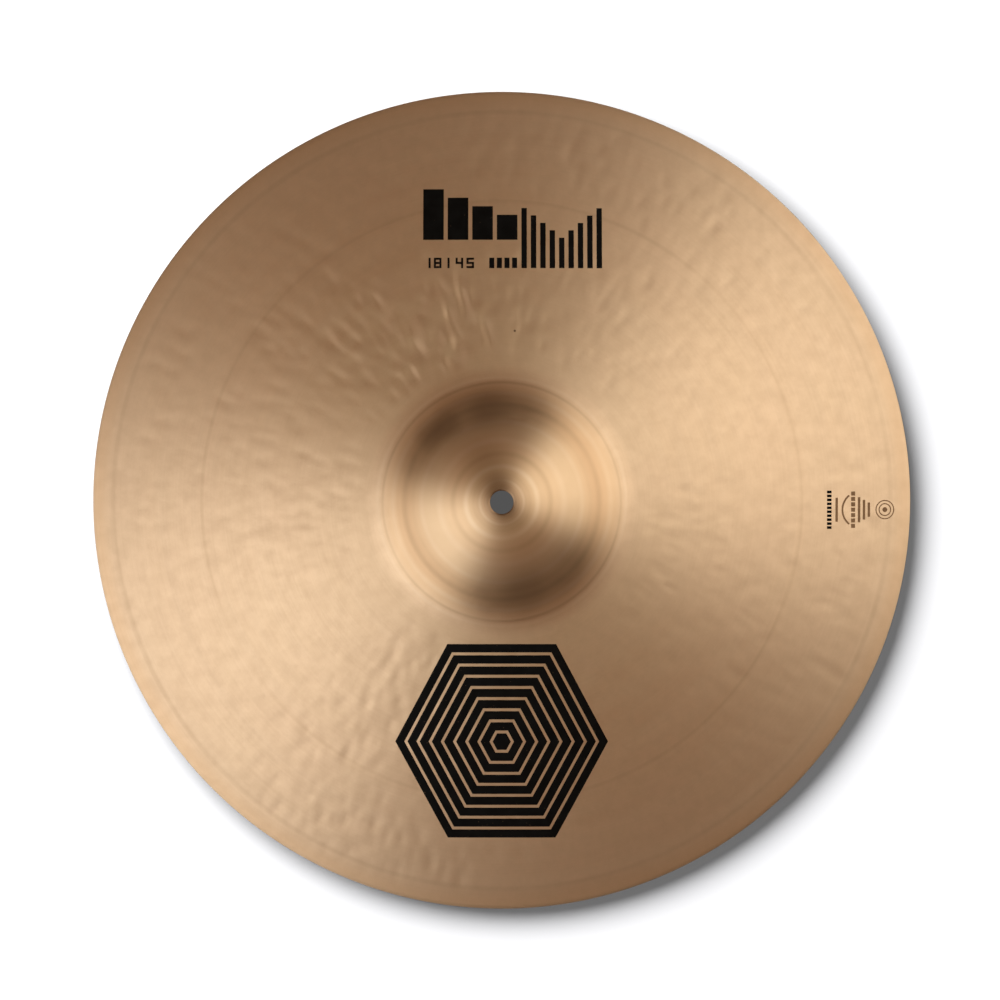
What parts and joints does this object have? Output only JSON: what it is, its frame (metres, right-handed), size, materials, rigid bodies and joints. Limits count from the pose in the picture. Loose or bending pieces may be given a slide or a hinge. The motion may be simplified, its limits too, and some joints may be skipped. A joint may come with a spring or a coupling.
{
  "type": "crash cymbal",
  "caption": "Thin round bronze cymbal with a domed bell, a gently curved hammered and lathed bow, a central stand hole and abstract ink marks.",
  "frame": {"origin": "on the cymbal's axis, in the plane that its rim rests on", "axes": "+Z along the axis, up towards the bell; +Y towards the name print, so the large emblem lies on -Y and the small seal on +X"},
  "size_m": [0.4572, 0.4572, 0.0445],
  "materials": {
    "bronze": "hammered and finely lathed tin bronze, polished, with clear circular turning lines",
    "black_ink": "screen-printed black ink, satin",
    "brown_ink": "screen-printed brown ink, satin"
  },
  "bodies": {
    "root": {"cymbal_plate": "bronze", "emblem_print": "black_ink", "name_print": "black_ink", "size_print": "black_ink", "serial_print": "black_ink", "seal_print": "brown_ink"}
  },
  "joints": []
}
